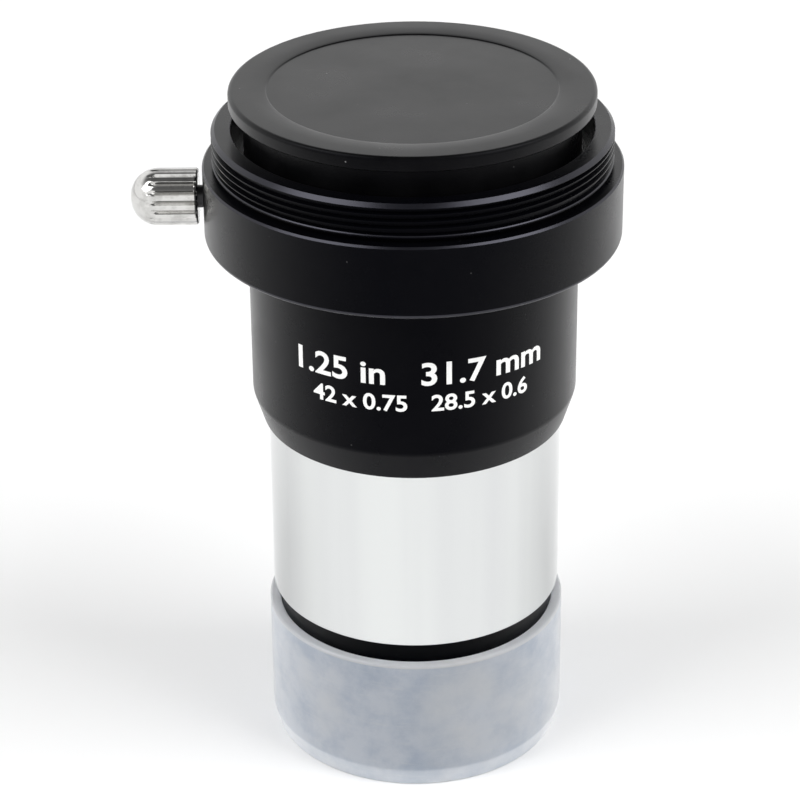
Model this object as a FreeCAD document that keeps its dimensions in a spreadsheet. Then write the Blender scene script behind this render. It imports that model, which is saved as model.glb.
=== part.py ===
import FreeCAD, Part
import math
import os
import re

import Sketcher

# A 1.25 inch Barlow lens that stands on its translucent nose cap.
# The optical axis is Z, Z = 0 is the face it stands on, -Y is the front of
# the body and the thumbscrew points along -X. Sizes are in millimetres.

DOC = FreeCAD.newDocument("barlow_lens")
SHEET = DOC.addObject("Spreadsheet::Sheet", "Dims")

SIZES = {
    # standard sizes that other equipment fits
    "barrel_radius": 15.875,
    "socket_radius": 15.925,
    "camera_thread_radius": 21.0,
    "filter_radius": 14.25,
    "cell_thread_radius": 14.25,
    "screw_radius": 1.5,
    # nose dust cap, soft translucent plastic pushed over the lens cell
    "cap_length": 15.8,
    "cap_wall": 1.2,
    "cap_floor": 1.5,
    "cap_slip": 0.05,
    "cap_rim_edge": 0.25,
    "cap_bevel_height": 1.8,
    "cap_bevel_inset": 0.5,
    "cap_corner": 0.4,
    # lens cell, black, screwed into the chrome nosepiece
    "cell_step": 0.725,
    "cell_rest": 0.1,
    "cell_shown": 2.2,
    "cell_edge": 0.3,
    "cell_thread_length": 3.3,
    "cell_thread_wall": 1.35,
    "filter_depth": 3.3,
    "thread_slip": 0.05,
    # cemented negative doublet and the ring that holds it
    "lens_radius": 12.5,
    "lens_slip": 0.05,
    "lens_play": 0.03,
    "near_curve": 38.0,
    "cement_curve": 29.6,
    "far_curve": 117.0,
    "crown_centre": 1.5,
    "flint_centre": 3.5,
    "cement": 0.02,
    "lip_width": 0.9,
    "lip_thickness": 1.2,
    "ring_step": 0.5,
    "ring_lap": 0.8,
    "ring_thickness": 1.8,
    "slot_width": 1.2,
    "slot_depth": 0.8,
    # chrome nosepiece
    "nose_length": 21.1,
    "nose_wall": 1.875,
    "nose_relief": 0.3,
    "nose_edge": 0.3,
    "nose_thread_step": 0.875,
    "nose_thread_length": 4.0,
    # main body tube with its coned foot
    "body_wall": 1.3,
    "body_foot_cover": 2.3,
    "body_bore_ease": 0.275,
    "body_length": 21.1,
    "cone_foot_step": 0.575,
    "cone_length": 3.3,
    # eyepiece holder: collar, camera thread and eyepiece socket
    "holder_thread_step": 0.8,
    "holder_thread_length": 5.0,
    "collar_step": 1.05,
    "collar_length": 7.9,
    "collar_edge": 0.4,
    "relief_depth": 0.7,
    "relief_length": 0.45,
    "camera_thread_length": 3.65,
    "camera_thread_edge": 0.4,
    "mouth_wall": 2.1,
    "mouth_depth": 3.2,
    "mouth_edge": 0.25,
    "land_length": 2.2,
    "groove_depth": 0.575,
    "groove_length": 0.8,
    # top dust cap, a stepped plug under a wide lid
    "lid_overhang": 1.65,
    "lid_thickness": 1.6,
    "lid_gap": 2.6,
    "lid_edge": 0.4,
    "lid_under_edge": 0.25,
    "lid_web": 1.0,
    "lid_wall": 1.4,
    "lid_rest": 0.05,
    "recess_rim": 4.05,
    "recess_depth": 0.4,
    "recess_edge": 0.15,
    "hub_ease": 1.3,
    "plug_slip": 0.055,
    "plug_length": 2.7,
    "plug_edge": 0.4,
    # thumbscrew: M3 stud and fluted knob
    "screw_slip": 0.05,
    "screw_edge": 0.3,
    "screw_setback": 0.05,
    "neck_step": 0.35,
    "neck_inset": 0.4,
    "knob_wall": 1.8,
    "knob_length": 7.1,
    "knob_dome": 2.4,
    "knob_gap": 0.5,
    "knob_edge": 0.25,
    "knob_hole_depth": 4.0,
    "flute_radius": 0.33,
    "flute_count": 18,
    # how far a cutting outline runs past the surface it cuts
    "cut_overrun": 1.0,
}

# Radii that follow from the sizes above.
CELL_RADIUS = "barrel_radius - cell_step"
CELL_BORE = "cell_thread_radius - cell_thread_wall"
CAP_BORE = CELL_RADIUS + " + cap_slip"
CAP_RADIUS = CAP_BORE + " + cap_wall"
RING_RADIUS = "lens_radius + ring_step"
RING_BORE = "lens_radius - ring_lap"
NOSE_BORE = "barrel_radius - nose_wall"
NOSE_THREAD = "barrel_radius - nose_thread_step"
CONE_FOOT = "barrel_radius + cone_foot_step"
BODY_BORE = "socket_radius + body_bore_ease"
BODY_RADIUS = "max(%s + body_wall; %s + body_foot_cover)" % (BODY_BORE, NOSE_THREAD)
HOLDER_THREAD = BODY_RADIUS + " - holder_thread_step"
COLLAR_RADIUS = "camera_thread_radius + collar_step"
RELIEF_RADIUS = "camera_thread_radius - relief_depth"
MOUTH_RADIUS = "camera_thread_radius - mouth_wall"
GROOVE_RADIUS = "socket_radius + groove_depth"
HUB_RADIUS = MOUTH_RADIUS + " - hub_ease"
LID_RADIUS = HUB_RADIUS + " + lid_overhang"
RECESS_RADIUS = LID_RADIUS + " - recess_rim"
PLUG_RADIUS = "socket_radius - plug_slip"
SCREW_HOLE = "screw_radius + screw_slip"
NECK_RADIUS = "screw_radius - neck_step"
NECK_HOLE = NECK_RADIUS + " + screw_slip"
KNOB_RADIUS = NECK_HOLE + " + knob_wall"

# Heights along the axis, from the face the lens stands on.
CELL_END = "cap_floor + cell_rest"
NOSE_END = "cap_length + cell_shown"
BODY_END = NOSE_END + " + nose_length"
COLLAR_LOW = BODY_END + " + body_length"
COLLAR_HIGH = COLLAR_LOW + " + collar_length"
THREAD_LOW = COLLAR_HIGH + " + relief_length"
THREAD_HIGH = THREAD_LOW + " + camera_thread_length"
MOUTH_FLOOR = THREAD_HIGH + " - mouth_depth"
GROOVE_HIGH = MOUTH_FLOOR + " - land_length"
GROOVE_LOW = GROOVE_HIGH + " - groove_length"
SPIGOT_LOW = COLLAR_LOW + " - holder_thread_length"
LID_LOW = THREAD_HIGH + " + lid_gap"
LID_HIGH = LID_LOW + " + lid_thickness"
SCREW_HEIGHT = COLLAR_LOW + " + collar_length / 2"
RING_LOW = CELL_END + " + filter_depth"
LENS_LOW = RING_LOW + " + ring_thickness"

# Lens faces: each sag is the depth of a face at the lens's edge.
NEAR_SAG = "near_curve - sqrt(near_curve ^ 2 - lens_radius ^ 2)"
CEMENT_SAG = "cement_curve - sqrt(cement_curve ^ 2 - lens_radius ^ 2)"
FAR_SAG = "far_curve - sqrt(far_curve ^ 2 - lens_radius ^ 2)"
CROWN_LOW = LENS_LOW + " + " + NEAR_SAG
CROWN_HIGH = CROWN_LOW + " + crown_centre"
FLINT_LOW = CROWN_HIGH + " + cement"
FLINT_HIGH = FLINT_LOW + " + flint_centre"
LENS_HIGH = FLINT_HIGH + " + " + FAR_SAG
LIP_LOW = LENS_HIGH + " + lens_play"
LIP_HIGH = LIP_LOW + " + lip_thickness"

# Distances along the thumbscrew, from the optical axis.
KNOB_FACE = COLLAR_RADIUS + " + knob_gap"
SCREW_TIP = "socket_radius + screw_setback"


def fill_sheet():
    for row, (alias, value) in enumerate(SIZES.items(), start=1):
        SHEET.set("A%d" % row, alias)
        SHEET.set("B%d" % row, str(value))
        SHEET.setAlias("B%d" % row, alias)
    DOC.recompute()


def bound(text):
    """The same formula with each size read from the sheet."""
    return re.sub(r"\b(?!sqrt\b|max\b)[a-z][a-z_]+", lambda word: "Dims." + word.group(), text)


def value_of(text):
    return float(SHEET.evalExpression(bound(text)))


def origin_plane(body, role):
    return [item for item in body.Origin.OriginFeatures if item.Role == role][0]


def new_sketch(body, name, role):
    sketch = body.newObject("Sketcher::SketchObject", name)
    sketch.AttachmentSupport = [(origin_plane(body, role), "")]
    sketch.MapMode = "FlatFace"
    return sketch


def pin_point(sketch, line, across, along):
    """Holds the start of a line at a distance across and along from the origin."""
    for kind, axis, text in (("DistanceX", -2, across), ("DistanceY", -1, along)):
        if text == "0":
            sketch.addConstraint(Sketcher.Constraint("PointOnObject", line, 1, axis))
            continue
        number = sketch.addConstraint(
            Sketcher.Constraint(kind, -1, 1, line, 1, value_of(text)))
        sketch.setExpression("Constraints[%d]" % number, bound(text))


def draw_outline(sketch, corners):
    points = [FreeCAD.Vector(value_of(x), value_of(y), 0) for x, y in corners]
    for start, end in zip(points, points[1:] + points[:1]):
        sketch.addGeometry(Part.LineSegment(start, end))
    count = len(corners)
    for line in range(count):
        sketch.addConstraint(
            Sketcher.Constraint("Coincident", line, 2, (line + 1) % count, 1))
    for line, (across, along) in enumerate(corners):
        pin_point(sketch, line, across, along)


def turned(label, corners):
    """A body turned about its own Z axis from (radius, height) corners."""
    body = DOC.addObject("PartDesign::Body", label)
    sketch = new_sketch(body, label + "_outline", "XZ_Plane")
    draw_outline(sketch, corners)
    turn = body.newObject("PartDesign::Revolution", label + "_turn")
    turn.Profile = sketch
    turn.ReferenceAxis = (sketch, ["V_Axis"])
    turn.Angle = 360
    body.Tip = turn
    DOC.recompute()
    return body


def ring_edges(body, spots):
    """Names of the round edges of the body at each (radius, height)."""
    wanted = [(value_of(radius), value_of(height)) for radius, height in spots]
    names = []
    for number, edge in enumerate(body.Tip.Shape.Edges, start=1):
        if not isinstance(edge.Curve, Part.Circle):
            continue
        found = (edge.Curve.Radius, edge.Curve.Center.z)
        if any(math.dist(found, spot) < 1e-4 for spot in wanted):
            names.append("Edge%d" % number)
    if len(names) < len(spots):
        raise ValueError("%s: an edge to dress is missing" % body.Label)
    return names


def dressed(body, kind, size, spots):
    """Fillets or chamfers the round edges at the given spots."""
    base = (body.Tip, ring_edges(body, spots))
    feature = body.newObject("PartDesign::" + kind, body.Label + "_" + kind.lower())
    feature.Base = base
    feature.setExpression("Radius" if kind == "Fillet" else "Size", bound(size))
    body.Tip = feature
    DOC.recompute()


def cut_pocket(body, sketch, name, length, backwards):
    """Cuts a sketch into the body and makes sure that material went away."""
    before = body.Tip.Shape.Volume
    pocket = body.newObject("PartDesign::Pocket", name)
    pocket.Profile = sketch
    pocket.Reversed = backwards
    pocket.setExpression("Length", bound(length))
    body.Tip = pocket
    DOC.recompute()
    if not pocket.Shape.Volume < before:
        raise ValueError("%s cuts nothing" % name)
    return pocket


def point_along_minus_x(body, distance):
    """Turns a body's own Z axis to -X, at the screw's height."""
    body.Placement = FreeCAD.Placement(
        FreeCAD.Vector(0, 0, 0), FreeCAD.Rotation(FreeCAD.Vector(0, 1, 0), -90))
    body.setExpression("Placement.Base.x", bound("0 - (%s)" % distance))
    body.setExpression("Placement.Base.z", bound(SCREW_HEIGHT))
    DOC.recompute()


def nose_dust_cap():
    """Cup with a bevelled foot. It grips the lens cell and is what the lens stands on."""
    bevel_foot = CAP_RADIUS + " - cap_bevel_inset"
    body = turned("nose_dust_cap", [
        ("0", "0"),
        (bevel_foot, "0"),
        (bevel_foot, "cap_corner"),
        (CAP_RADIUS, "cap_corner + cap_bevel_height"),
        (CAP_RADIUS, "cap_length"),
        (CAP_BORE, "cap_length"),
        (CAP_BORE, "cap_floor"),
        ("0", "cap_floor"),
    ])
    dressed(body, "Chamfer", "cap_corner / 2", [(bevel_foot, "0")])
    dressed(body, "Chamfer", "cap_rim_edge", [(CAP_RADIUS, "cap_length")])
    return body


def lens_cell():
    """Black tube that holds the doublet: filter thread below, nosepiece thread above."""
    ring_seat = RING_RADIUS + " + thread_slip"
    pocket = "lens_radius + lens_slip"
    aperture = "lens_radius - lip_width"
    body = turned("lens_cell", [
        ("filter_radius", CELL_END),
        (CELL_RADIUS, CELL_END),
        (CELL_RADIUS, NOSE_END),
        ("cell_thread_radius", NOSE_END),
        ("cell_thread_radius", NOSE_END + " + cell_thread_length"),
        (CELL_BORE, NOSE_END + " + cell_thread_length"),
        (CELL_BORE, LIP_HIGH),
        (aperture, LIP_HIGH),
        (aperture, LIP_LOW),
        (pocket, LIP_LOW),
        (pocket, LENS_LOW),
        (ring_seat, LENS_LOW),
        (ring_seat, RING_LOW),
        ("filter_radius", RING_LOW),
    ])
    dressed(body, "Chamfer", "cell_edge", [
        (CELL_RADIUS, CELL_END),
        ("cell_thread_radius", NOSE_END + " + cell_thread_length"),
    ])
    return body


def lens_retaining_ring():
    """Threaded ring under the doublet, with two slots for a pin spanner."""
    body = turned("lens_retaining_ring", [
        (RING_BORE, RING_LOW),
        (RING_RADIUS, RING_LOW),
        (RING_RADIUS, LENS_LOW),
        (RING_BORE, LENS_LOW),
    ])
    slots = new_sketch(body, "spanner_slots", "XY_Plane")
    slots.AttachmentOffset = FreeCAD.Placement(
        FreeCAD.Vector(0, 0, value_of(RING_LOW)), FreeCAD.Rotation())
    slots.setExpression("AttachmentOffset.Base.z", bound(RING_LOW))
    half_width = value_of("slot_width") / 2
    reach = value_of(RING_RADIUS + " + cut_overrun")
    ends = [(-reach, -half_width), (reach, -half_width), (reach, half_width), (-reach, half_width)]
    ends = [FreeCAD.Vector(x, y, 0) for x, y in ends]
    for start, end in zip(ends, ends[1:] + ends[:1]):
        slots.addGeometry(Part.LineSegment(start, end))
    for line in range(4):
        slots.addConstraint(Sketcher.Constraint("Coincident", line, 2, (line + 1) % 4, 1))
        slots.addConstraint(Sketcher.Constraint("Horizontal" if line % 2 == 0 else "Vertical", line))
    slots.addConstraint(Sketcher.Constraint("Symmetric", 0, 1, 1, 2, -1, 1))
    width = slots.addConstraint(Sketcher.Constraint("DistanceY", 1, 1, 1, 2, 2 * half_width))
    slots.setExpression("Constraints[%d]" % width, bound("slot_width"))
    length = slots.addConstraint(Sketcher.Constraint("DistanceX", 0, 1, 0, 2, 2 * reach))
    slots.setExpression("Constraints[%d]" % length, bound("(%s + cut_overrun) * 2" % RING_RADIUS))
    cut_pocket(body, slots, "spanner_slot_cut", "slot_depth", True)
    return body


def cylinder(name, radius, low, height):
    solid = DOC.addObject("Part::Cylinder", name)
    solid.setExpression("Radius", bound(radius))
    solid.setExpression("Height", bound(height))
    solid.setExpression("Placement.Base.z", bound(low))
    return solid


def sphere(name, radius, centre):
    """A ball on the optical axis, laid on its side to keep its poles and seam off the lens."""
    solid = DOC.addObject("Part::Sphere", name)
    solid.Placement.Rotation = FreeCAD.Rotation(FreeCAD.Vector(1, 0, 0), 90)
    solid.setExpression("Radius", bound(radius))
    solid.setExpression("Placement.Base.z", bound(centre))
    return solid


def joined(kind, name, base, tool):
    result = DOC.addObject("Part::" + kind, name)
    result.Base = base
    result.Tool = tool
    DOC.recompute()
    return result


def crown_element():
    """Biconcave crown glass, ground to the cement radius on its upper face."""
    edge = NEAR_SAG + " + crown_centre + " + CEMENT_SAG
    blank = cylinder("crown_blank", "lens_radius", LENS_LOW, edge)
    near = sphere("crown_near_tool", "near_curve", CROWN_LOW + " - near_curve")
    hollow = joined("Cut", "crown_hollow", blank, near)
    upper = sphere("crown_cement_tool", "cement_curve", CROWN_HIGH + " + cement_curve")
    return joined("Cut", "crown_element", hollow, upper)


def flint_element():
    """Flint meniscus cemented into the crown's upper face."""
    edge = "flint_centre + " + FAR_SAG
    blank = cylinder("flint_blank", "lens_radius", FLINT_LOW, edge)
    lower = sphere("flint_cement_tool", "cement_curve", FLINT_LOW + " + cement_curve")
    bowl = joined("Common", "flint_bowl", blank, lower)
    upper = sphere("flint_far_tool", "far_curve", FLINT_HIGH + " + far_curve")
    return joined("Cut", "flint_element", bowl, upper)


def nosepiece():
    """Chrome 1.25 inch barrel, threaded for the cell below and the body above."""
    spigot_top = BODY_END + " + nose_thread_length"
    cell_socket = "cell_thread_radius + thread_slip"
    socket_end = NOSE_END + " + cell_thread_length + nose_relief"
    body = turned("nosepiece", [
        (cell_socket, NOSE_END),
        ("barrel_radius", NOSE_END),
        ("barrel_radius", BODY_END),
        (NOSE_THREAD, BODY_END),
        (NOSE_THREAD, spigot_top),
        (NOSE_BORE, spigot_top),
        (NOSE_BORE, socket_end),
        (cell_socket, socket_end),
    ])
    dressed(body, "Chamfer", "nose_edge", [
        ("barrel_radius", NOSE_END),
        (NOSE_THREAD, spigot_top),
    ])
    return body


def main_body():
    """Black tube with a coned foot. The nosepiece screws in below, the holder above."""
    nose_socket = NOSE_THREAD + " + thread_slip"
    holder_socket = HOLDER_THREAD + " + thread_slip"
    socket_top = BODY_END + " + nose_thread_length + thread_slip"
    socket_floor = SPIGOT_LOW + " - thread_slip"
    body = turned("main_body", [
        (nose_socket, BODY_END),
        (CONE_FOOT, BODY_END),
        (BODY_RADIUS, BODY_END + " + cone_length"),
        (BODY_RADIUS, COLLAR_LOW),
        (holder_socket, COLLAR_LOW),
        (holder_socket, socket_floor),
        (BODY_BORE, socket_floor),
        (BODY_BORE, socket_top),
        (nose_socket, socket_top),
    ])
    return body


def eyepiece_holder():
    """Collar with the screw hole, the camera thread on top and the eyepiece socket inside."""
    body = turned("eyepiece_holder", [
        ("socket_radius", SPIGOT_LOW),
        (HOLDER_THREAD, SPIGOT_LOW),
        (HOLDER_THREAD, COLLAR_LOW),
        (COLLAR_RADIUS, COLLAR_LOW),
        (COLLAR_RADIUS, COLLAR_HIGH),
        (RELIEF_RADIUS, COLLAR_HIGH),
        (RELIEF_RADIUS, THREAD_LOW),
        ("camera_thread_radius", THREAD_LOW),
        ("camera_thread_radius", THREAD_HIGH),
        (MOUTH_RADIUS, THREAD_HIGH),
        (MOUTH_RADIUS, MOUTH_FLOOR),
        ("socket_radius", MOUTH_FLOOR),
        ("socket_radius", GROOVE_HIGH),
        (GROOVE_RADIUS, GROOVE_HIGH),
        (GROOVE_RADIUS, GROOVE_LOW),
        ("socket_radius", GROOVE_LOW),
    ])
    dressed(body, "Chamfer", "collar_edge", [
        (COLLAR_RADIUS, COLLAR_LOW),
        (COLLAR_RADIUS, COLLAR_HIGH),
    ])
    dressed(body, "Chamfer", "camera_thread_edge", [("camera_thread_radius", THREAD_HIGH)])
    dressed(body, "Chamfer", "mouth_edge", [(MOUTH_RADIUS, THREAD_HIGH)])
    hole = new_sketch(body, "screw_hole", "YZ_Plane")
    middle = FreeCAD.Vector(0, value_of(SCREW_HEIGHT), 0)
    radius = value_of(SCREW_HOLE)
    hole.addGeometry(Part.Circle(middle, FreeCAD.Vector(0, 0, 1), radius))
    hole.addConstraint(Sketcher.Constraint("PointOnObject", 0, 3, -2))
    height = hole.addConstraint(Sketcher.Constraint("DistanceY", -1, 1, 0, 3, middle.y))
    hole.setExpression("Constraints[%d]" % height, bound(SCREW_HEIGHT))
    size = hole.addConstraint(Sketcher.Constraint("Radius", 0, radius))
    hole.setExpression("Constraints[%d]" % size, bound(SCREW_HOLE))
    cut_pocket(body, hole, "screw_hole_cut", COLLAR_RADIUS + " + cut_overrun", False)
    return body


def top_dust_cap():
    """Moulded lid: a wide flange, a hub that rests in the mouth and a thin plug below."""
    hub_low = MOUTH_FLOOR + " + lid_rest"
    plug_low = MOUTH_FLOOR + " - plug_length"
    web_low = LID_HIGH + " - recess_depth - lid_web"
    body = turned("top_dust_cap", [
        (PLUG_RADIUS + " - lid_wall", plug_low),
        (PLUG_RADIUS, plug_low),
        (PLUG_RADIUS, hub_low),
        (HUB_RADIUS, hub_low),
        (HUB_RADIUS, LID_LOW),
        (LID_RADIUS, LID_LOW),
        (LID_RADIUS, LID_HIGH),
        (RECESS_RADIUS, LID_HIGH),
        (RECESS_RADIUS, LID_HIGH + " - recess_depth"),
        ("0", LID_HIGH + " - recess_depth"),
        ("0", web_low),
        (HUB_RADIUS + " - lid_wall", web_low),
        (HUB_RADIUS + " - lid_wall", hub_low + " + lid_wall"),
        (PLUG_RADIUS + " - lid_wall", hub_low + " + lid_wall"),
    ])
    dressed(body, "Chamfer", "lid_edge", [(LID_RADIUS, LID_HIGH)])
    dressed(body, "Chamfer", "lid_under_edge", [(LID_RADIUS, LID_LOW)])
    dressed(body, "Chamfer", "recess_edge", [(RECESS_RADIUS, LID_HIGH)])
    dressed(body, "Chamfer", "plug_edge", [(PLUG_RADIUS, plug_low)])
    return body


def thumbscrew_stud():
    """M3 stud: flat tip at the socket's wall, thread in the collar, neck in the knob."""
    thread_end = COLLAR_RADIUS + " - neck_inset - (%s)" % SCREW_TIP
    length = KNOB_FACE + " + knob_hole_depth - knob_edge - (%s)" % SCREW_TIP
    body = turned("thumbscrew_stud", [
        ("0", "0"),
        ("screw_radius", "0"),
        ("screw_radius", thread_end),
        (NECK_RADIUS, thread_end),
        (NECK_RADIUS, length),
        ("0", length),
    ])
    dressed(body, "Chamfer", "screw_edge", [("screw_radius", "0")])
    point_along_minus_x(body, SCREW_TIP)
    return body


def thumbscrew_knob():
    """Domed knob with straight flutes and a blind hole for the stud's neck."""
    hole_radius = NECK_HOLE
    body = turned("thumbscrew_knob", [
        (hole_radius, "0"),
        (KNOB_RADIUS, "0"),
        (KNOB_RADIUS, "knob_length"),
        ("0", "knob_length"),
        ("0", "knob_hole_depth"),
        (hole_radius, "knob_hole_depth"),
    ])
    dressed(body, "Fillet", "knob_dome", [(KNOB_RADIUS, "knob_length")])
    dressed(body, "Chamfer", "knob_edge", [(KNOB_RADIUS, "0")])
    flute = new_sketch(body, "flute", "XY_Plane")
    middle = FreeCAD.Vector(value_of(KNOB_RADIUS), 0, 0)
    flute.addGeometry(Part.Circle(middle, FreeCAD.Vector(0, 0, 1), value_of("flute_radius")))
    flute.addConstraint(Sketcher.Constraint("PointOnObject", 0, 3, -1))
    place = flute.addConstraint(Sketcher.Constraint("DistanceX", -1, 1, 0, 3, middle.x))
    flute.setExpression("Constraints[%d]" % place, bound(KNOB_RADIUS))
    size = flute.addConstraint(Sketcher.Constraint("Radius", 0, value_of("flute_radius")))
    flute.setExpression("Constraints[%d]" % size, bound("flute_radius"))
    cut = cut_pocket(body, flute, "flute_cut", "knob_length - knob_dome", True)
    flutes = body.newObject("PartDesign::PolarPattern", "flutes")
    flutes.Originals = [cut]
    flutes.Axis = (flute, ["N_Axis"])
    flutes.Angle = 360
    flutes.setExpression("Occurrences", bound("flute_count"))
    body.Tip = flutes
    DOC.recompute()
    point_along_minus_x(body, KNOB_FACE)
    return body


def check_document(parts):
    for item in DOC.Objects:
        if "Invalid" in item.State or "Error" in item.State:
            raise ValueError("%s failed: %s" % (item.Name, item.State))
    for part in parts:
        shape = part.Shape
        if shape.isNull() or not shape.isValid() or not shape.Solids:
            raise ValueError("%s has no sound solid" % part.Label)


def write_parts(parts):
    os.makedirs("parts", exist_ok=True)
    for part in parts:
        part.Shape.exportStep("parts/%s.step" % part.Label)
        box = part.Shape.BoundBox
        print("%-20s z %7.3f to %7.3f  volume %9.2f" % (
            part.Label, box.ZMin, box.ZMax, part.Shape.Volume))


fill_sheet()
PARTS = [
    nose_dust_cap(),
    lens_cell(),
    lens_retaining_ring(),
    crown_element(),
    flint_element(),
    nosepiece(),
    main_body(),
    eyepiece_holder(),
    top_dust_cap(),
    thumbscrew_stud(),
    thumbscrew_knob(),
]
DOC.recompute()
check_document(PARTS)
write_parts(PARTS)
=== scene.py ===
import math

import bmesh
import bpy
from mathutils import Matrix, Vector


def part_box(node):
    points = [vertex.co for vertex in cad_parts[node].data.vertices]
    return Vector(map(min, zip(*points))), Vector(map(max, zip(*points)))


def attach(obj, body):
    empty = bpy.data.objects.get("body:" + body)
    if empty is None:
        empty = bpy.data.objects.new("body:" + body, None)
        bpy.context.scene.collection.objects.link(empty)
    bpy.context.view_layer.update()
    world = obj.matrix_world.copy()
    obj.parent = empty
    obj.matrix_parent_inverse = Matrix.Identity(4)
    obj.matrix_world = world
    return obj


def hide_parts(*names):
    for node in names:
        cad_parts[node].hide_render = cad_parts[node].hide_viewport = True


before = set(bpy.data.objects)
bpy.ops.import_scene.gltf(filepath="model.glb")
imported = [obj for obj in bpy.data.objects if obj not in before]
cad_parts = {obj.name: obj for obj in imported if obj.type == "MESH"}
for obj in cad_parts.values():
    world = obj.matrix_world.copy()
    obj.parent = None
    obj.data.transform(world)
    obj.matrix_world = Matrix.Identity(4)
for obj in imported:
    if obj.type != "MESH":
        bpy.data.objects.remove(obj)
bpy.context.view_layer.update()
print("frame loaded:", len(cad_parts), "nodes")

mm = 0.001
weldDistance = 1e-6
roundSteps = 144
pi = math.pi


# outlines are (radius, height) in millimetres

def nodeSpan(node):
    # outer radius, lowest and highest point of a round node
    low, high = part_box(node)
    return (high.y - low.y) / 2 / mm, low.z / mm, high.z / mm


def arcPoints(centre, radius, start, end, count):
    # points along an arc, ends included, angles in degrees
    points = []
    for step in range(count + 1):
        angle = math.radians(start + (end - start) * step / count)
        points.append((centre[0] + radius * math.cos(angle),
                       centre[1] + radius * math.sin(angle)))
    return points


def turnOutline(corners, steps=roundSteps):
    # a solid of revolution: the outline closes on itself, or starts and ends on the axis
    bm = bmesh.new()
    verts = [bm.verts.new((radius * mm, 0, height * mm)) for radius, height in corners]
    pairs = list(zip(verts, verts[1:]))
    if corners[0][0] > 0:
        pairs.append((verts[-1], verts[0]))
    edges = [bm.edges.new(pair) for pair in pairs]
    bmesh.ops.spin(bm, geom=verts + edges, cent=(0, 0, 0), axis=(0, 0, 1), dvec=(0, 0, 0),
                   angle=2 * pi, steps=steps, use_merge=True)
    bmesh.ops.remove_doubles(bm, verts=bm.verts, dist=1e-7)
    bmesh.ops.recalc_face_normals(bm, faces=bm.faces)
    return bm


def roundRing(bm, radius, height, size, segments=3, look=0):
    # rounds the ring edge at this radius and height; look is the material slot of the rounding
    def onRing(vert):
        across = math.hypot(vert.co.x, vert.co.y)
        return abs(across - radius * mm) < 1e-6 and abs(vert.co.z - height * mm) < 1e-6
    edges = [edge for edge in bm.edges if onRing(edge.verts[0]) and onRing(edge.verts[1])]
    if not edges:
        raise ValueError("no ring edge at %.3f, %.3f" % (radius, height))
    rounding = bmesh.ops.bevel(bm, geom=edges, offset=size * mm, offset_type="OFFSET", affect="EDGES",
                               segments=segments, profile=0.5, material=-1, clamp_overlap=True)
    for face in rounding["faces"]:
        face.material_index = look


# a thread ridge in shares of its pitch, its height and one turn
ridge = {"foot": 0.62, "top": 0.12, "sink": 0.25, "fade": 0.2}


def windThread(bm, root, crest, start, turns, pitch, steps):
    # a right-hand thread ridge wound up Z over a core, its ends run out to nothing
    halfFoot = pitch * ridge["foot"] / 2
    halfTop = pitch * ridge["top"] / 2
    sink = root - (crest - root) * ridge["sink"]
    corners = [(sink, -halfFoot), (crest, -halfTop), (crest, halfTop), (sink, halfFoot)]
    verts = [bm.verts.new((radius * mm, 0, (start + height) * mm)) for radius, height in corners]
    edges = [bm.edges.new((verts[i], verts[(i + 1) % 4])) for i in range(4)]
    count = int(steps * turns)
    bmesh.ops.spin(bm, geom=verts + edges, cent=(0, 0, 0), axis=(0, 0, 1),
                   dvec=(0, 0, pitch * mm / steps), angle=2 * pi * count / steps,
                   steps=count, use_merge=False)
    ends = [edge for edge in bm.edges if edge.is_boundary]
    bmesh.ops.holes_fill(bm, edges=ends, sides=4)
    for vert in bm.verts:
        across = math.hypot(vert.co.x, vert.co.y) / mm
        if across < root + 1e-4 or across > crest + 1e-4:
            continue
        wound = (vert.co.z / mm - start) / pitch
        if not -ridge["fade"] < wound < turns + ridge["fade"]:
            continue
        fade = min(max(wound, 0) / ridge["fade"], max(turns - wound, 0) / ridge["fade"], 1)
        scale = (sink + (across - sink) * fade) / across
        vert.co.x *= scale
        vert.co.y *= scale
    bmesh.ops.recalc_face_normals(bm, faces=bm.faces)


def weldClean(bm):
    # merges doubles and takes out slivers
    bmesh.ops.remove_doubles(bm, verts=bm.verts, dist=weldDistance)
    bmesh.ops.dissolve_degenerate(bm, edges=bm.edges, dist=weldDistance)


def carve(piece, cutter):
    # cuts one mesh out of another and keeps the result as plain mesh
    boolean = piece.modifiers.new("carve", "BOOLEAN")
    boolean.operation = "DIFFERENCE"
    boolean.solver = "EXACT"
    boolean.object = cutter
    view = bpy.context.evaluated_depsgraph_get()
    carved = bpy.data.meshes.new_from_object(piece.evaluated_get(view))
    piece.modifiers.clear()
    piece.data = carved
    bpy.data.objects.remove(cutter)
    bm = bmesh.new()
    bm.from_mesh(carved)
    weldClean(bm)
    bm.to_mesh(carved)
    bm.free()


def looseObject(name, bm):
    mesh = bpy.data.meshes.new(name)
    bm.to_mesh(mesh)
    bm.free()
    piece = bpy.data.objects.new(name, mesh)
    bpy.context.scene.collection.objects.link(piece)
    return piece


def finishPiece(piece, body, materials, replaced=None, smoothAngle=35):
    mesh = piece.data
    for material in materials:
        mesh.materials.append(material)
    mesh.shade_smooth()
    mesh.set_sharp_from_angle(angle=math.radians(smoothAngle))
    weighted = piece.modifiers.new("evenNormals", "WEIGHTED_NORMAL")
    weighted.keep_sharp = True
    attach(piece, body)
    if replaced:
        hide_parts(replaced)
    return piece


# materials: object coordinates are metres, so a scale of 1000 is one cell a millimetre
cloudEnds = (0.3, 0.7)  # the values most of a noise lies between

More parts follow.
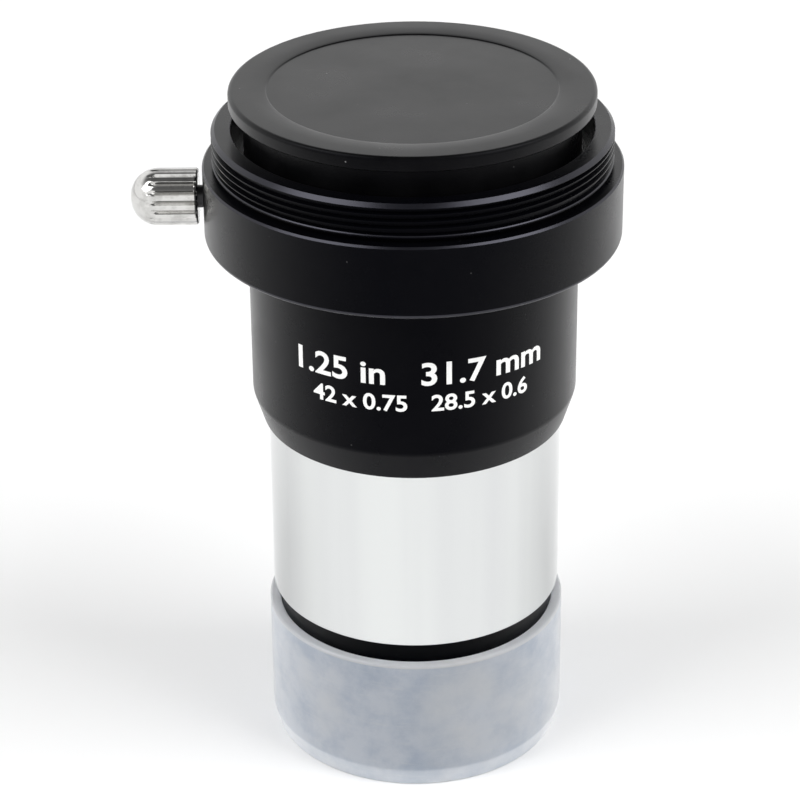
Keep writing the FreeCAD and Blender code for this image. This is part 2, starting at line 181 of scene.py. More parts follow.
def newMaterial(name):
    material = bpy.data.materials.new(name)
    material.use_nodes = True
    nodes = material.node_tree.nodes
    nodes.clear()
    output = nodes.new("ShaderNodeOutputMaterial")
    shader = nodes.new("ShaderNodeBsdfPrincipled")
    coords = nodes.new("ShaderNodeTexCoord")
    material.node_tree.links.new(shader.outputs["BSDF"], output.inputs["Surface"])
    return material, shader, coords


def stretched(material, coords, scale):
    mapping = material.node_tree.nodes.new("ShaderNodeMapping")
    mapping.inputs["Scale"].default_value = scale
    material.node_tree.links.new(coords.outputs["Object"], mapping.inputs["Vector"])
    return mapping.outputs["Vector"]


def addNoise(material, vector, scale, detail=3, roughness=0.55):
    noise = material.node_tree.nodes.new("ShaderNodeTexNoise")
    noise.inputs["Scale"].default_value = scale
    noise.inputs["Detail"].default_value = detail
    noise.inputs["Roughness"].default_value = roughness
    material.node_tree.links.new(vector, noise.inputs["Vector"])
    return noise.outputs["Fac"]


def addRange(material, value, low, high, newLow, newHigh):
    remap = material.node_tree.nodes.new("ShaderNodeMapRange")
    remap.inputs["From Min"].default_value = low
    remap.inputs["From Max"].default_value = high
    remap.inputs["To Min"].default_value = newLow
    remap.inputs["To Max"].default_value = newHigh
    material.node_tree.links.new(value, remap.inputs["Value"])
    return remap.outputs["Result"]


def addRoughness(material, shader, cloud, ends):
    rough = addRange(material, cloud, cloudEnds[0], cloudEnds[1], *ends)
    material.node_tree.links.new(rough, shader.inputs["Roughness"])


def mixColours(material, share, first, second):
    mix = material.node_tree.nodes.new("ShaderNodeMix")
    mix.data_type = "RGBA"
    links = material.node_tree.links
    links.new(share, mix.inputs["Factor"])
    for socket, colour in ((mix.inputs["A"], first), (mix.inputs["B"], second)):
        if isinstance(colour, tuple):
            socket.default_value = (*colour, 1)
        else:
            links.new(colour, socket)
    return mix.outputs["Result"]


def addBump(material, shader, height, strength, distance, earlier=None):
    bump = material.node_tree.nodes.new("ShaderNodeBump")
    bump.inputs["Strength"].default_value = strength
    bump.inputs["Distance"].default_value = distance * mm
    links = material.node_tree.links
    links.new(height, bump.inputs["Height"])
    if earlier is not None:
        links.new(earlier, bump.inputs["Normal"])
    links.new(bump.outputs["Normal"], shader.inputs["Normal"])
    return bump.outputs["Normal"]


def addSpecks(material, vector, scale, size, keptFrom):
    # small bright dots of dust, sparse because only some cells keep theirs
    nodes, links = material.node_tree.nodes, material.node_tree.links
    cells = nodes.new("ShaderNodeTexVoronoi")
    cells.inputs["Scale"].default_value = scale
    cells.inputs["Randomness"].default_value = 1
    links.new(vector, cells.inputs["Vector"])
    dots = addRange(material, cells.outputs["Distance"], size, size * 0.5, 0, 1)
    kept = nodes.new("ShaderNodeSeparateColor")
    links.new(cells.outputs["Color"], kept.inputs["Color"])
    chosen = addRange(material, kept.outputs["Red"], keptFrom, keptFrom + 0.02, 0, 1)
    both = nodes.new("ShaderNodeMath")
    both.operation = "MULTIPLY"
    links.new(dots, both.inputs[0])
    links.new(chosen, both.inputs[1])
    return both.outputs["Value"]


blackGrain = {"cloud": 110, "cloudDetail": 5, "cloudRoughness": 0.6, "wornFrom": 0.38, "wornTo": 0.7,
              "dustScale": 900, "dustSize": 0.09, "grainScale": 5200, "grainDepth": 0.02,
              "ringStretch": (40, 40, 9000), "ringDepth": 0.01, "blueness": 1.2}
turnedMarks = {"scale": 9000, "strength": 0.9, "depth": 0.05}
blackLooks = {
    "anodisedBody": {"colour": (0.0009, 0.0010, 0.0018), "worn": (0.0018, 0.0018, 0.0026),
                     "dust": (0.04, 0.04, 0.04), "dusty": 0.95, "roughness": (0.24, 0.33),
                     "sheen": 0.035, "index": 1.5, "grain": 0.10, "rings": 0.06},
    "anodisedCell": {"colour": (0.0005, 0.0007, 0.0011), "worn": (0.0011, 0.0012, 0.0016),
                     "dust": (0.03, 0.03, 0.03), "dusty": 0.98, "roughness": (0.34, 0.45),
                     "sheen": 0.03, "index": 1.42, "grain": 0.08, "rings": 0.05},
    "mouldedLid": {"colour": (0.0016, 0.0016, 0.0019), "worn": (0.0052, 0.0052, 0.0056),
                   "dust": (0.16, 0.16, 0.16), "dusty": 0.94, "roughness": (0.26, 0.36),
                   "sheen": 0.03, "index": 1.66, "grain": 0.10, "rings": 0.0},
}


def turnedGrooves(material, coords):
    # fine lathe marks round the Z axis, from the distance to it
    nodes, links = material.node_tree.nodes, material.node_tree.links
    distance = nodes.new("ShaderNodeVectorMath")
    distance.operation = "LENGTH"
    links.new(stretched(material, coords, (1, 1, 0)), distance.inputs[0])
    marks = nodes.new("ShaderNodeTexNoise")
    marks.noise_dimensions = "1D"
    marks.inputs["Scale"].default_value = turnedMarks["scale"]
    marks.inputs["Detail"].default_value = 2
    links.new(distance.outputs["Value"], marks.inputs["W"])
    return marks.outputs["Fac"]


def satinBlack(name, kind="", sheen=None):
    # nearly black face-on; the reflection comes up only towards grazing angles,
    # except on rubbed edges and turned faces, whose kind brings its own sheen
    look = blackLooks[name]
    if sheen is None:
        sheen = look["sheen"]
    material, shader, coords = newMaterial(name + kind)
    links = material.node_tree.links
    place = coords.outputs["Object"]
    cloud = addNoise(material, place, blackGrain["cloud"], blackGrain["cloudDetail"],
                     blackGrain["cloudRoughness"])
    wear = addRange(material, cloud, blackGrain["wornFrom"], blackGrain["wornTo"], 0, 1)
    base = mixColours(material, wear, look["colour"], look["worn"])
    dust = addSpecks(material, place, blackGrain["dustScale"], blackGrain["dustSize"], look["dusty"])
    links.new(mixColours(material, dust, base, look["dust"]), shader.inputs["Base Color"])
    addRoughness(material, shader, cloud, look["roughness"])
    shader.inputs["IOR"].default_value = look["index"]
    blue = min(sheen * blackGrain["blueness"], 1)
    shader.inputs["Specular Tint"].default_value = (sheen, sheen, blue, 1)
    grain = addNoise(material, place, blackGrain["grainScale"], 2)
    bumps = addBump(material, shader, grain, look["grain"], blackGrain["grainDepth"])
    if kind == "Turned":
        marks = turnedGrooves(material, coords)
        addBump(material, shader, marks, turnedMarks["strength"], turnedMarks["depth"], bumps)
    elif look["rings"]:
        rings = addNoise(material, stretched(material, coords, blackGrain["ringStretch"]), 1, 2)
        addBump(material, shader, rings, look["rings"], blackGrain["ringDepth"], bumps)
    return material


chromeLook = {"colour": (0.735, 0.75, 0.745), "dull": (0.665, 0.675, 0.68),
              "roughness": (0.09, 0.16), "cloud": 90,
              "bandStretch": (150, 150, 3), "bandEnds": (0.38, 0.66),
              "ringStretch": (30, 30, 6000), "rings": 0.05, "ringDepth": 0.01}


def polishedChrome():
    material, shader, coords = newMaterial("polishedChrome")
    links = material.node_tree.links
    place = coords.outputs["Object"]
    cloud = addNoise(material, place, chromeLook["cloud"], 4)
    bands = addNoise(material, stretched(material, coords, chromeLook["bandStretch"]), 1, 3)
    shade = addRange(material, bands, *chromeLook["bandEnds"], 0, 1)
    links.new(mixColours(material, shade, chromeLook["colour"], chromeLook["dull"]),
              shader.inputs["Base Color"])
    addRoughness(material, shader, cloud, chromeLook["roughness"])
    shader.inputs["Metallic"].default_value = 1
    rings = addNoise(material, stretched(material, coords, chromeLook["ringStretch"]), 1, 2)
    addBump(material, shader, rings, chromeLook["rings"], chromeLook["ringDepth"])
    return material


# thumbscrew knob: a domed barrel with straight flutes
knob = {"hole": 1.2, "holeDepth": 4.0, "dome": 2.8, "domeSteps": 12, "edge": 0.15, "rows": 12,
        "flutes": 18, "fluteDepth": 0.36, "fluteSteps": 12, "fluteShare": 0.15, "fluteFrom": 0.7,
        "taper": 0.7, "smoothAngle": 50}

# the darker flute colour, with its depth, fade and run, is painted shade in the flutes
nickelLook = {"colour": (0.66, 0.655, 0.64), "tarnish": (0.46, 0.455, 0.44), "roughness": (0.08, 0.18),
              "paintedShade": (0.42, 0.415, 0.40), "paintedShadeDepth": 0.26, "paintedShadeFade": 0.1, "paintedShadeRun": 0.4,
              "faceMargin": 0.1, "faceFade": 0.05, "cloud": 900, "tarnishEnds": (0.45, 0.75),
              "grainScale": 3000, "grain": 0.06, "grainDepth": 0.01}


def brightNickel():
    # painted shade: darker in the flutes, by distance from the knob's axis, fading out towards the dome and at
    # the end face
    material, shader, coords = newMaterial("brightNickel")
    nodes, links = material.node_tree.nodes, material.node_tree.links
    place = coords.outputs["Object"]
    cloud = addNoise(material, place, nickelLook["cloud"], 4)
    shade = addRange(material, cloud, *nickelLook["tarnishEnds"], 0, 1)
    metal = mixColours(material, shade, nickelLook["colour"], nickelLook["tarnish"])
    lowCorner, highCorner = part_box("thumbscrew_knob")
    radius = (highCorner.z - lowCorner.z) / 2
    centred = nodes.new("ShaderNodeMapping")
    centred.inputs["Location"].default_value = (0, 0, -(lowCorner.z + highCorner.z) / 2)
    centred.inputs["Scale"].default_value = (0, 1, 1)
    links.new(place, centred.inputs["Vector"])
    across = nodes.new("ShaderNodeVectorMath")
    across.operation = "LENGTH"
    links.new(centred.outputs["Vector"], across.inputs[0])
    # painted shade mask: the flutes are darkened deeper than this from the crests
    deep = radius - nickelLook["paintedShadeDepth"] * mm
    paintedShade = addRange(material, across.outputs["Value"], deep, deep - nickelLook["paintedShadeFade"] * mm, 0, 1)
    along = nodes.new("ShaderNodeSeparateXYZ")
    links.new(place, along.inputs["Vector"])
    domeStart = lowCorner.x + knob["dome"] * mm
    fluteEnd = domeStart - nickelLook["paintedShadeRun"] * mm
    face = highCorner.x - nickelLook["faceMargin"] * mm
    fluted = addRange(material, along.outputs["X"], fluteEnd, domeStart, 0, 1)
    inside = addRange(material, along.outputs["X"], face, face - nickelLook["faceFade"] * mm, 0, 1)
    both = nodes.new("ShaderNodeMath")
    both.operation = "MULTIPLY"
    links.new(paintedShade, both.inputs[0])
    links.new(fluted, both.inputs[1])
    packed = nodes.new("ShaderNodeMath")
    packed.operation = "MULTIPLY"
    links.new(both.outputs["Value"], packed.inputs[0])
    links.new(inside, packed.inputs[1])
    links.new(mixColours(material, packed.outputs["Value"], metal, nickelLook["paintedShade"]),
              shader.inputs["Base Color"])
    addRoughness(material, shader, cloud, nickelLook["roughness"])
    shader.inputs["Metallic"].default_value = 1
    grain = addNoise(material, place, nickelLook["grainScale"], 2)
    addBump(material, shader, grain, nickelLook["grain"], nickelLook["grainDepth"])
    return material


# painted shade: the stud's steel is near black, standing in for the shade on its neck between the knob and the
# collar
steelLook = {"dark": (0.03, 0.03, 0.032), "light": (0.07, 0.07, 0.072), "roughness": (0.3, 0.45),
             "cloud": 1500}


def steelWithPaintedShade():
    material, shader, coords = newMaterial("steelWithPaintedShade")
    links = material.node_tree.links
    cloud = addNoise(material, coords.outputs["Object"], steelLook["cloud"], 3)
    links.new(mixColours(material, cloud, steelLook["dark"], steelLook["light"]),
              shader.inputs["Base Color"])
    addRoughness(material, shader, cloud, steelLook["roughness"])
    shader.inputs["Metallic"].default_value = 1
    return material


# nose dust cap: milky cup with a bevelled foot
cup = {"wall": 1.2, "floor": 1.5, "bevelInset": 0.5, "bevelHeight": 1.8, "corner": 0.4,
       "cornerRound": 0.32, "bevelRound": 0.2, "rim": 0.3}
# the near-white colour laid on the foot and the rim is painted light at the foot and a painted highlight on the
# rim
milkLook = {"clean": (0.80, 0.85, 0.93), "smudged": (0.56, 0.64, 0.76), "rubbed": (0.92, 0.93, 0.94),
            "paintedLight": (0.94, 0.94, 0.94), "roughness": (0.30, 0.46), "transmission": 0.72, "sheen": 0.85,
            "sheenRoughness": 0.45, "index": 1.5, "cloud": 210, "cloudDetail": 7, "cloudRoughness": 0.66,
            "cloudEnds": (0.40, 0.64), "patches": 75, "patchEnds": (0.50, 0.68), "patchShare": 0.6,
            "wipeStretch": (60, 60, 700), "wipes": 4, "wipeEnds": (0.56, 0.74), "wipeShare": 0.3,
            "footFrom": 0.15, "footTo": -0.1, "footShare": 0.25, "rimDepth": 0.1, "grainScale": 400,
            "grain": 0.05, "grainDepth": 0.02}


def milkyPlastic():
    # smudged and bluish where the dark cell shows through; painted light makes the foot lighter, where no dark
    # cell sits behind it, and a painted highlight runs along the rim
    material, shader, coords = newMaterial("milkyPlastic")
    nodes, links = material.node_tree.nodes, material.node_tree.links
    place = coords.outputs["Object"]
    cloud = addNoise(material, place, milkLook["cloud"], milkLook["cloudDetail"],
                     milkLook["cloudRoughness"])
    smudges = addRange(material, cloud, *milkLook["cloudEnds"], 0, 1)
    base = mixColours(material, smudges, milkLook["clean"], milkLook["smudged"])
    patches = addNoise(material, place, milkLook["patches"], 3)
    rubs = addRange(material, patches, *milkLook["patchEnds"], 0, milkLook["patchShare"])
    base = mixColours(material, rubs, base, milkLook["rubbed"])
    drawn = stretched(material, coords, milkLook["wipeStretch"])
    wipes = addNoise(material, drawn, milkLook["wipes"], 4)
    streaks = addRange(material, wipes, *milkLook["wipeEnds"], 0, milkLook["wipeShare"])
    base = mixColours(material, streaks, base, milkLook["rubbed"])
    lowCorner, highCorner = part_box("nose_dust_cap")
    height = nodes.new("ShaderNodeSeparateXYZ")
    links.new(place, height.inputs["Vector"])
    # painted light at the foot band and a painted highlight at the rim, both mixed towards near white
    foot = lowCorner.z + (cup["corner"] + cup["bevelHeight"]) * mm
    rim = highCorner.z - cup["rim"] * mm
    footPaintedLight = addRange(material, height.outputs["Z"], foot + milkLook["footFrom"] * mm,
                         foot + milkLook["footTo"] * mm, 0, milkLook["footShare"])
    rimPaintedHighlight = addRange(material, height.outputs["Z"], rim - milkLook["rimDepth"] * mm, rim, 0, 1)
    paintedLight = nodes.new("ShaderNodeMath")
    paintedLight.operation = "ADD"
    paintedLight.use_clamp = True
    links.new(footPaintedLight, paintedLight.inputs[0])
    links.new(rimPaintedHighlight, paintedLight.inputs[1])
    links.new(mixColours(material, paintedLight.outputs["Value"], base, milkLook["paintedLight"]),
              shader.inputs["Base Color"])
    addRoughness(material, shader, cloud, milkLook["roughness"])
    shader.inputs["IOR"].default_value = milkLook["index"]
    shader.inputs["Transmission Weight"].default_value = milkLook["transmission"]
    shader.inputs["Sheen Weight"].default_value = milkLook["sheen"]
    shader.inputs["Sheen Roughness"].default_value = milkLook["sheenRoughness"]
    grain = addNoise(material, place, milkLook["grainScale"], 2)
    addBump(material, shader, grain, milkLook["grain"], milkLook["grainDepth"])
    return material


glassLook = {"first": (0.93, 0.98, 0.96), "second": (0.90, 0.96, 0.97), "coating": (0.55, 1.0, 0.72, 1),
             "roughness": (0.0, 0.03), "index": 1.52, "cloud": 60}


def coatedGlass():
    material, shader, coords = newMaterial("coatedGlass")
    links = material.node_tree.links
    cloud = addNoise(material, coords.outputs["Object"], glassLook["cloud"], 2)
    links.new(mixColours(material, cloud, glassLook["first"], glassLook["second"]),
              shader.inputs["Base Color"])
    addRoughness(material, shader, cloud, glassLook["roughness"])
    shader.inputs["IOR"].default_value = glassLook["index"]
    shader.inputs["Transmission Weight"].default_value = 1
    shader.inputs["Specular Tint"].default_value = glassLook["coating"]
    return material


inkLook = {"dull": (0.78, 0.78, 0.77), "white": (0.90, 0.90, 0.89), "roughness": (0.45, 0.6),
           "cloud": 1800}


def printedInk():
    material, shader, coords = newMaterial("printedInk")
    links = material.node_tree.links
    cloud = addNoise(material, coords.outputs["Object"], inkLook["cloud"], 3)
    links.new(mixColours(material, cloud, inkLook["dull"], inkLook["white"]),
              shader.inputs["Base Color"])
    addRoughness(material, shader, cloud, inkLook["roughness"])
    return material


# a black piece may carry a rubbed edge and a turned face after its plain finish
edgeSlot = 1
turnedSlot = 2
bodyBlack = satinBlack("anodisedBody")
bodyEdge = satinBlack("anodisedBody", "Edge", 0.8)
bodyTurned = satinBlack("anodisedBody", "Turned", 1.0)
cellBlack = satinBlack("anodisedCell")
lidBlack = satinBlack("mouldedLid")
chrome = polishedChrome()
nickel = brightNickel()
steel = steelWithPaintedShade()
milky = milkyPlastic()
glass = coatedGlass()
ink = printedInk()
print("materials ready")


# top dust cap: wide lid with a shallow dish, hub and thin plug
lid = {"trim": 0.15, "thickness": 1.6, "edge": 0.45, "underEdge": 0.25, "dish": 15.2, "dishDepth": 0.22,
       "rollWidth": 2.0, "rollDrop": 0.12, "rollSteps": 5, "lipRound": 0.05,
       "dishSlope": 0.12, "dishRound": 0.08, "hub": 17.6, "hubDepth": 5.75, "hubRound": 0.2, "plug": 15.87,
       "plugRound": 0.35, "wall": 1.4, "web": 1.0}


def makeTopLid():
    radius, low, high = nodeSpan("top_dust_cap")
    radius -= lid["trim"]
    under = high - lid["thickness"]
    hubLow = under - lid["hubDepth"]
    floor = high - lid["dishDepth"]
    webLow = floor - lid["web"]
    ledge = hubLow + lid["wall"]
    bore = lid["plug"] - lid["wall"]
    rollStart = lid["dish"] + lid["rollWidth"]
    roll = []
    for step in range(1, lid["rollSteps"] + 1):
        share = step / lid["rollSteps"]
        roll.append((rollStart - lid["rollWidth"] * share, high - lid["rollDrop"] * share ** 2))
    bm = turnOutline([
        (0, webLow), (lid["hub"] - lid["wall"], webLow), (lid["hub"] - lid["wall"], ledge),
        (bore, ledge), (bore, low), (lid["plug"], low), (lid["plug"], hubLow), (lid["hub"], hubLow),
        (lid["hub"], under),
        (radius, under), (radius, high), (rollStart, high), *roll,
        (lid["dish"] - lid["dishSlope"], floor), (0, floor)])
    roundRing(bm, radius, high, lid["edge"], 4)
    roundRing(bm, radius, under, lid["underEdge"])
    roundRing(bm, lid["dish"], high - lid["rollDrop"], lid["lipRound"], 2)
    roundRing(bm, lid["dish"] - lid["dishSlope"], floor, lid["dishRound"], 2)
    roundRing(bm, lid["hub"], hubLow, lid["hubRound"])
    roundRing(bm, lid["plug"], low, lid["plugRound"])
    finishPiece(looseObject("topLid", bm), "top_cap", [lidBlack], "top_dust_cap")


# eyepiece holder: collar, camera thread, mouth and socket
holder = {"spigot": 16.7, "spigotLength": 5.0, "socket": 15.925, "socketEdge": 0.3,
          "collarLength": 7.9, "collarFoot": 0.5, "collarEdge": 0.2, "relief": 20.3, "reliefLength": 0.45,
          "crest": 21.0, "root": 20.5, "rib": 0.3, "ribSlope": 0.15, "ribEdge": 0.08, "pitch": 0.75,
          "turns": 3.4, "threadStart": 0.19, "topLand": 0.45, "topEdge": 0.4, "mouth": 18.9,
          "mouthDepth": 3.2, "mouthEdge": 0.2, "land": 2.2, "groove": 16.5, "grooveLength": 0.8,
          "screwHole": 1.55, "drillAt": -19.0, "drillLength": 12.0, "drillSides": 48}


def makeHolder():
    radius, low, high = nodeSpan("eyepiece_holder")
    collarLow = low + holder["spigotLength"]
    collarHigh = collarLow + holder["collarLength"]
    threadLow = collarHigh + holder["reliefLength"]
    ribHigh = threadLow + holder["rib"]
    landLow = high - holder["topLand"]
    mouthFloor = high - holder["mouthDepth"]
    grooveHigh = mouthFloor - holder["land"]
    grooveLow = grooveHigh - holder["grooveLength"]
    bm = turnOutline([
        (holder["socket"], low), (holder["spigot"], low), (holder["spigot"], collarLow),
        (radius, collarLow), (radius, collarHigh), (holder["relief"], collarHigh),
        (holder["relief"], threadLow), (holder["crest"], threadLow), (holder["crest"], ribHigh),
        (holder["root"], ribHigh + holder["ribSlope"]), (holder["root"], landLow - holder["ribSlope"]),
        (holder["crest"], landLow), (holder["crest"], high),
        (holder["mouth"], high), (holder["mouth"], mouthFloor), (holder["socket"], mouthFloor),
        (holder["socket"], grooveHigh), (holder["groove"], grooveHigh), (holder["groove"], grooveLow),
        (holder["socket"], grooveLow)])
    piece = looseObject("holderShell", bm)
    drill = bmesh.new()
    bmesh.ops.create_cone(drill, cap_ends=True, segments=holder["drillSides"],
                          radius1=holder["screwHole"] * mm, radius2=holder["screwHole"] * mm,
                          depth=holder["drillLength"] * mm)
    middle = (collarLow + collarHigh) / 2 * mm
    turn = Matrix.Translation((holder["drillAt"] * mm, 0, middle)) @ Matrix.Rotation(pi / 2, 4, "Y")
    turn = turn @ Matrix.Rotation(pi / holder["drillSides"], 4, "Z")  # no corner on the ring's seam
    bmesh.ops.transform(drill, matrix=turn, verts=drill.verts)
    carve(piece, looseObject("drill", drill))
    bm = bmesh.new()
    bm.from_mesh(piece.data)
    roundRing(bm, radius, collarLow, holder["collarFoot"], 4, edgeSlot)
    roundRing(bm, radius, collarHigh, holder["collarEdge"], 1, edgeSlot)
    roundRing(bm, holder["crest"], threadLow, holder["ribEdge"], 1, edgeSlot)
    roundRing(bm, holder["crest"], ribHigh, holder["ribEdge"], 1, edgeSlot)
    roundRing(bm, holder["crest"], high, holder["topEdge"], 1, edgeSlot)
    roundRing(bm, holder["mouth"], high, holder["mouthEdge"], 3, edgeSlot)
    roundRing(bm, holder["socket"], mouthFloor, holder["socketEdge"])
    for face in bm.faces:
        level = abs(face.calc_center_median().z - mouthFloor * mm) < weldDistance
        if level and face.normal.z > 0.99:
            face.material_index = turnedSlot
    windThread(bm, holder["root"], holder["crest"], ribHigh + holder["threadStart"],
               holder["turns"], holder["pitch"], roundSteps)
    bm.to_mesh(piece.data)
    bm.free()
    finishPiece(piece, "barrel", [bodyBlack, bodyEdge, bodyTurned],
                "eyepiece_holder")


# main body: tube with a coned foot
bodyTube = {"coneFoot": 16.45, "coneLength": 3.3, "noseSocket": 15.05, "noseSocketDepth": 4.05,
            "bore": 16.2, "holderSocket": 16.75, "holderSocketDepth": 5.05, "edge": 0.12,
            "coneTopEdge": 0.25}


def makeBody():
    radius, low, high = nodeSpan("main_body")
    socketTop = low + bodyTube["noseSocketDepth"]
    holderFloor = high - bodyTube["holderSocketDepth"]
    bm = turnOutline([
        (bodyTube["noseSocket"], low), (bodyTube["coneFoot"], low),
        (radius, low + bodyTube["coneLength"]), (radius, high),
        (bodyTube["holderSocket"], high), (bodyTube["holderSocket"], holderFloor),
        (bodyTube["bore"], holderFloor), (bodyTube["bore"], socketTop),
        (bodyTube["noseSocket"], socketTop)])
    roundRing(bm, bodyTube["coneFoot"], low, bodyTube["edge"], 3, edgeSlot)
    roundRing(bm, radius, low + bodyTube["coneLength"], bodyTube["coneTopEdge"])
    finishPiece(looseObject("bodyTube", bm), "barrel", [bodyBlack, bodyEdge],
                "main_body")


# printed marking: plain sizes in two lines, wrapped round the body
marking = {
    "lines": [
        {"text": "1.25 in   31.7 mm", "baseline": 8.2, "capHeight": 2.55, "length": 27.8},
        {"text": "42 x 0.75   28.5 x 0.6", "baseline": 5.2, "capHeight": 1.85, "length": 23.9},
    ],
    "thickness": 0.03, "sink": 0.005, "turn": 2.3, "bold": 0.02, "slice": 0.35, "curveSteps": 4,
}


def flatText(line):
    curve = bpy.data.curves.new("markingText", "FONT")
    curve.body = line["text"]
    curve.align_x = "CENTER"
    curve.offset = marking["bold"]
    curve.resolution_u = marking["curveSteps"]
    source = bpy.data.objects.new("markingText", curve)
    bpy.context.scene.collection.objects.link(source)
    view = bpy.context.evaluated_depsgraph_get()
    mesh = bpy.data.meshes.new_from_object(source.evaluated_get(view))
    bpy.data.objects.remove(source)
    bm = bmesh.new()
    bm.from_mesh(mesh)
    bpy.data.meshes.remove(mesh)
    low = min(vert.co.x for vert in bm.verts)
    high = max(vert.co.x for vert in bm.verts)
    tall = max(vert.co.y for vert in bm.verts)
    for vert in bm.verts:
        vert.co.x = (vert.co.x - (low + high) / 2) * line["length"] / (high - low) * mm
        vert.co.y = vert.co.y * line["capHeight"] / tall * mm
    return bm


def makeMarking():
    radius, low, high = nodeSpan("main_body")
    coneTop = low + bodyTube["coneLength"]
    whole = bmesh.new()
    for line in marking["lines"]:
        bm = flatText(line)
        cuts = int(line["length"] / marking["slice"])
        for cut in range(cuts + 1):
            across = (cut / cuts - 0.5) * line["length"] * mm
            bmesh.ops.bisect_plane(bm, geom=bm.verts[:] + bm.edges[:] + bm.faces[:], dist=1e-8,
                                   plane_co=(across, 0, 0), plane_no=(1, 0, 0))
        weldClean(bm)
        skin = bmesh.ops.extrude_face_region(bm, geom=bm.faces[:])
        raised = [item for item in skin["geom"] if isinstance(item, bmesh.types.BMVert)]
        bmesh.ops.translate(bm, vec=(0, 0, marking["thickness"] * mm), verts=raised)
        for vert in bm.verts:
            angle = vert.co.x / (radius * mm) + math.radians(marking["turn"]) - pi / 2
            out = radius * mm + vert.co.z - marking["sink"] * mm
            up = (coneTop + line["baseline"]) * mm + vert.co.y
            vert.co = Vector((out * math.cos(angle), out * math.sin(angle), up))
        bmesh.ops.recalc_face_normals(bm, faces=bm.faces)
        mesh = bpy.data.meshes.new("markingLine")
        bm.to_mesh(mesh)
        bm.free()
        whole.from_mesh(mesh)
        bpy.data.meshes.remove(mesh)
    finishPiece(looseObject("bodyMarking", whole), "barrel", [ink])


# chrome nosepiece
nose = {"edge": 0.3, "bore": 14.0, "cellSocket": 14.3, "cellSocketDepth": 3.6, "spigot": 15.0,
        "spigotLength": 4.0, "rimEdge": 0.15}


def makeNose():
    radius, low, high = nodeSpan("nosepiece")
    top = high - nose["spigotLength"]
    socketTop = low + nose["cellSocketDepth"]
    bm = turnOutline([
        (nose["cellSocket"], low), (radius, low), (radius, top), (nose["spigot"], top),
        (nose["spigot"], high), (nose["bore"], high), (nose["bore"], socketTop), (nose["cellSocket"], socketTop)])
    roundRing(bm, radius, low, nose["edge"], 4)
    roundRing(bm, nose["cellSocket"], low, nose["rimEdge"])
    finishPiece(looseObject("noseBarrel", bm), "barrel", [chrome], "nosepiece")


# lens cell and the ring that holds the doublet
cell = {"threadRoot": 13.95, "threadCrest": 14.25, "threadLength": 3.3, "pitch": 0.6, "bore": 12.9,
        "lip": 11.6, "lipThickness": 1.2, "pocket": 12.55, "ringSeat": 13.05, "filter": 14.25,
        "filterDepth": 3.3, "ringThickness": 1.8, "edge": 0.25, "shoulderEdge": 0.12, "threadEdge": 0.15,
        "threadStart": 0.4, "turns": 4.4, "lipGap": 0.03}


def makeCell():
    radius, low, high = nodeSpan("lens_cell")
    shoulder = high - cell["threadLength"]
    seat = low + cell["filterDepth"]
    lensLow = seat + cell["ringThickness"]
    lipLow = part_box("flint_element")[1].z / mm + cell["lipGap"]
    lipHigh = lipLow + cell["lipThickness"]
    bm = turnOutline([
        (cell["filter"], low), (radius, low), (radius, shoulder), (cell["threadRoot"], shoulder),
        (cell["threadRoot"], high), (cell["bore"], high), (cell["bore"], lipHigh), (cell["lip"], lipHigh),
        (cell["lip"], lipLow), (cell["pocket"], lipLow), (cell["pocket"], lensLow),
        (cell["ringSeat"], lensLow), (cell["ringSeat"], seat), (cell["filter"], seat)])
    roundRing(bm, radius, low, cell["edge"])
    roundRing(bm, radius, shoulder, cell["shoulderEdge"])
    roundRing(bm, cell["threadRoot"], high, cell["threadEdge"])
    windThread(bm, cell["threadRoot"], cell["threadCrest"], shoulder + cell["threadStart"],
               cell["turns"], cell["pitch"], roundSteps)
    finishPiece(looseObject("cellTube", bm), "cell", [cellBlack], "lens_cell")


spanner = {"bore": 11.7, "edge": 0.15, "slotWidth": 1.2, "slotDepth": 0.8, "cutLength": 2.2}


def makeSpannerRing():
    radius, low, high = nodeSpan("lens_retaining_ring")
    bm = turnOutline([(spanner["bore"], low), (radius, low), (radius, high), (spanner["bore"], high)])
    roundRing(bm, spanner["bore"], low, spanner["edge"])
    piece = looseObject("spannerRing", bm)
    slot = bmesh.new()
    bmesh.ops.create_cube(slot, size=1)
    size = (radius * spanner["cutLength"] * mm, spanner["slotWidth"] * mm, spanner["slotDepth"] * 2 * mm)
    bmesh.ops.scale(slot, vec=size, verts=slot.verts)
    bmesh.ops.translate(slot, vec=(0, 0, low * mm), verts=slot.verts)
    carve(piece, looseObject("slotCutter", slot))
    finishPiece(piece, "lens_group", [cellBlack], "lens_retaining_ring")


# cemented doublet: every face is part of a sphere centred on the axis
doublet = {"near": 38.0, "cement": 29.6, "far": 117.0, "crownCentre": 1.5, "flintCentre": 3.5, "gap": 0.02,
           "faceSteps": 14}


def lensFace(vertex, curve, radius, upward):
    # points from the axis to the rim of a spherical face, bulging or hollow along Z
    points = []
    for step in range(doublet["faceSteps"] + 1):
        across = radius * step / doublet["faceSteps"]
        points.append((across, vertex + upward * (curve - math.sqrt(curve ** 2 - across ** 2))))
    return points


def makeLenses():
    radius, low, crownHigh = nodeSpan("crown_element")
    nearSag = doublet["near"] - math.sqrt(doublet["near"] ** 2 - radius ** 2)
    crownLow = low + nearSag
    crownTop = crownLow + doublet["crownCentre"]
    crown = lensFace(crownLow, doublet["near"], radius, -1)
    crown += reversed(lensFace(crownTop, doublet["cement"], radius, 1))
    bm = turnOutline(crown)
    finishPiece(looseObject("crownGlass", bm), "lens_group", [glass], "crown_element")
    flintLow = crownTop + doublet["gap"]
    flint = lensFace(flintLow, doublet["cement"], radius, 1)
    flint += reversed(lensFace(flintLow + doublet["flintCentre"], doublet["far"], radius, 1))
    bm = turnOutline(flint)
    finishPiece(looseObject("flintGlass", bm), "lens_group", [glass], "flint_element")


